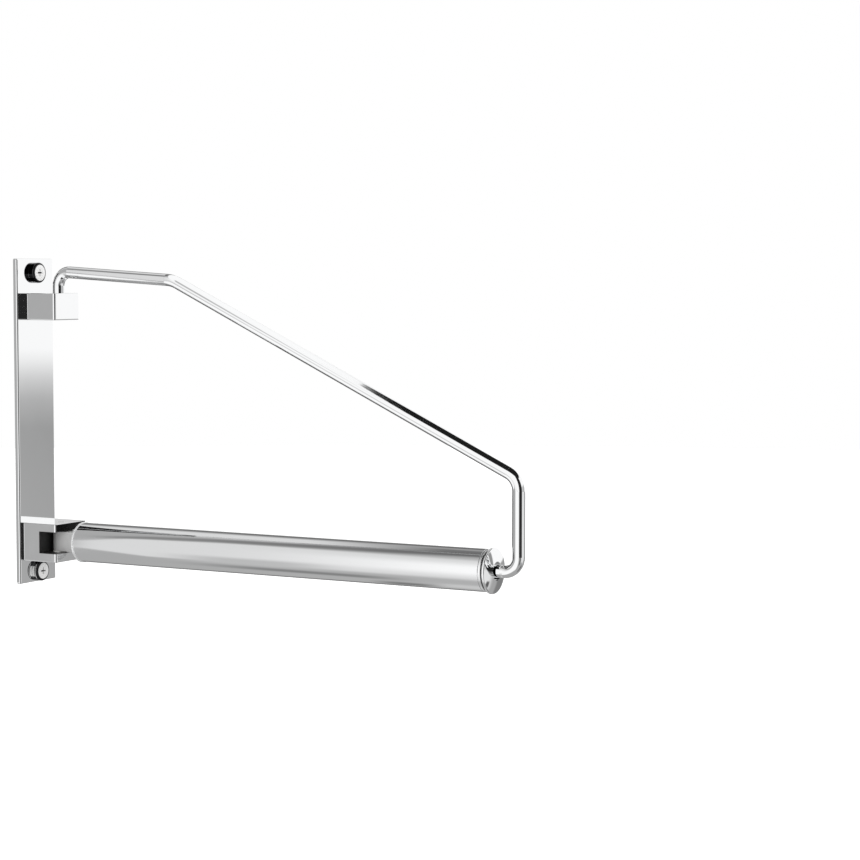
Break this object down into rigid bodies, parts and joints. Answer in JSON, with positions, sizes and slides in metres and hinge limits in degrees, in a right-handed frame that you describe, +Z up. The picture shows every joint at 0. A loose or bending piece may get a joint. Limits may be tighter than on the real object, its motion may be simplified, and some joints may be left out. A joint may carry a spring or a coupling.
{
  "type": "wall-mounted clothes rail",
  "caption": "Swing-arm clothes rail: a chromed wall plate with brackets carries a round tube and a bent support rod, both turning on one upright hinge line.",
  "frame": {"origin": "on the wall, in the plate's back face, midway between the two wall screws", "axes": "+X out of the wall along the tube, +Y sideways along the wall, +Z up"},
  "size_m": [0.3683, 0.036, 0.208],
  "materials": {
    "chrome_plate": "bright chrome plating",
    "satin_steel": "satin nickel-plated steel",
    "zinc_steel": "bright zinc-plated steel",
    "white_nylon": "moulded nylon"
  },
  "bodies": {
    "wall_mount": {"wall_plate": "chrome_plate", "upper_wall_screw": "chrome_plate", "lower_wall_screw": "chrome_plate", "upper_bracket": "chrome_plate", "upper_bracket_screws": "zinc_steel", "rod_bush": "white_nylon", "lower_bracket": "chrome_plate", "lower_bracket_screws": "zinc_steel", "hinge_pin": "zinc_steel", "upper_hinge_washer": "white_nylon", "lower_hinge_washer": "white_nylon"},
    "swing_arm": {"hinge_tongue": "satin_steel", "tongue_bush": "white_nylon", "tongue_washer": "zinc_steel", "tongue_nut": "zinc_steel", "tube_plug": "chrome_plate", "rail_tube": "chrome_plate", "outer_cap": "chrome_plate", "support_rod": "chrome_plate", "rod_washer": "zinc_steel", "rod_nut": "zinc_steel"}
  },
  "joints": [
    {"name": "arm_swing", "type": "hinge", "parent": "wall_mount", "child": "swing_arm", "pos_m": [0.022, 0, -0.0755], "axis": [0, 0, 1], "range_deg": [-90, 90]}
  ]
}
